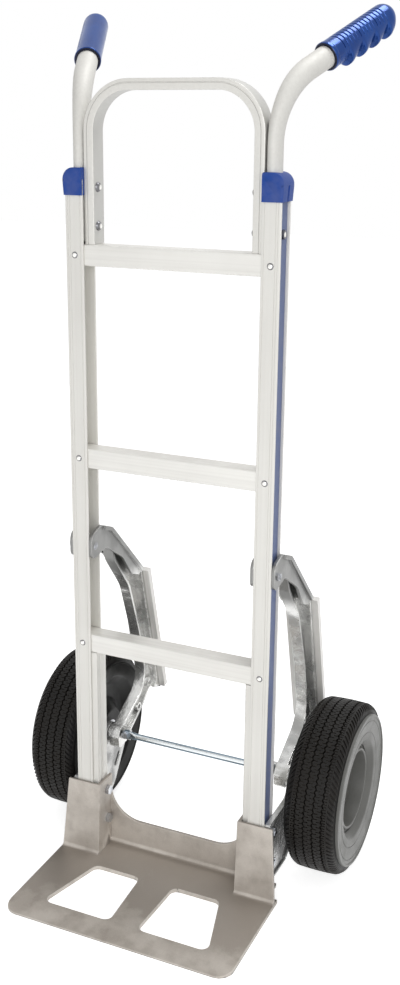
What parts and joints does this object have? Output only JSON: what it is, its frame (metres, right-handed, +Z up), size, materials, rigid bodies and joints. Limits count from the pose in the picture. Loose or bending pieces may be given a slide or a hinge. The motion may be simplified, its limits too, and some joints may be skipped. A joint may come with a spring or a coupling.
{
  "type": "hand truck",
  "caption": "Upright aluminium hand truck with a flat nose plate, ribbed side rails, a top loop, swept-back handles with grips, bowed wheel arms and wide rubber-tyred wheels.",
  "frame": {"origin": "middle of the footprint on the floor, between the nose's tip and the wheels' backs", "axes": "+X to the right across the rails, +Y from the nose back to the wheels, +Z up"},
  "size_m": [0.4992, 0.451, 1.2149],
  "materials": {
    "rail_aluminium": "pale satin anodised extrusion",
    "cast_nose": "warm grey cast aluminium, slightly mottled",
    "cast_arm": "bright tumbled cast aluminium",
    "wear_aluminium": "plain satin bar",
    "blue_grip": "glossy blue moulded vinyl",
    "blue_cap": "satin blue moulded plastic",
    "blue_strip": "satin blue plastic strip",
    "zinc_steel": "bright zinc plate",
    "bearing_steel": "ground steel",
    "tyre_rubber": "matte black rubber with a grooved tread",
    "rim_plastic": "satin mid-grey moulded plastic"
  },
  "bodies": {
    "frame": {"arm_bolts": "zinc_steel", "arm_foot_bolts": "zinc_steel", "arm_nuts": "zinc_steel", "arm_spacers": "zinc_steel", "axle_clips": "zinc_steel", "axle_left": "zinc_steel", "axle_nuts": "zinc_steel", "axle_right": "zinc_steel", "axle_washers": "zinc_steel", "brace_bolts": "zinc_steel", "brace_nuts": "zinc_steel", "cross_brace": "zinc_steel", "handle_grip_left": "blue_grip", "handle_grip_right": "blue_grip", "handle_tube_left": "rail_aluminium", "handle_tube_right": "rail_aluminium", "loop_bolts": "zinc_steel", "loop_nuts": "zinc_steel", "nose_bolts": "zinc_steel", "nose_nuts": "zinc_steel", "nose_plate": "cast_nose", "rail_cap_left": "blue_cap", "rail_cap_right": "blue_cap", "rail_left": "rail_aluminium", "rail_liner_left": "rail_aluminium", "rail_liner_right": "rail_aluminium", "rail_right": "rail_aluminium", "rail_strip_left": "blue_strip", "rail_strip_right": "blue_strip", "rung_bottom": "rail_aluminium", "rung_middle": "rail_aluminium", "rung_rivets": "zinc_steel", "rung_top": "rail_aluminium", "top_loop": "rail_aluminium", "wear_strip_left": "wear_aluminium", "wear_strip_right": "wear_aluminium", "wear_strip_screws": "zinc_steel", "wheel_arm_left": "cast_arm", "wheel_arm_right": "cast_arm", "wheel_bracket_left": "cast_arm", "wheel_bracket_right": "cast_arm"},
    "wheel_left": {"bearing_inner_left": "bearing_steel", "bearing_outer_left": "bearing_steel", "hub_cap_left": "rim_plastic", "rim_cup_left": "rim_plastic", "rim_inner_left": "rim_plastic", "rim_outer_left": "rim_plastic", "rim_web_left": "rim_plastic", "tyre_left": "tyre_rubber"},
    "wheel_right": {"bearing_inner_right": "bearing_steel", "bearing_outer_right": "bearing_steel", "hub_cap_right": "rim_plastic", "rim_cup_right": "rim_plastic", "rim_inner_right": "rim_plastic", "rim_outer_right": "rim_plastic", "rim_web_right": "rim_plastic", "tyre_right": "tyre_rubber"}
  },
  "joints": [
    {"name": "wheel_left_spin", "type": "hinge", "parent": "frame", "child": "wheel_left", "pos_m": [-0.209, 0.0985, 0.127], "axis": [1, 0, 0], "continuous": true},
    {"name": "wheel_right_spin", "type": "hinge", "parent": "frame", "child": "wheel_right", "pos_m": [0.209, 0.0985, 0.127], "axis": [1, 0, 0], "continuous": true}
  ]
}
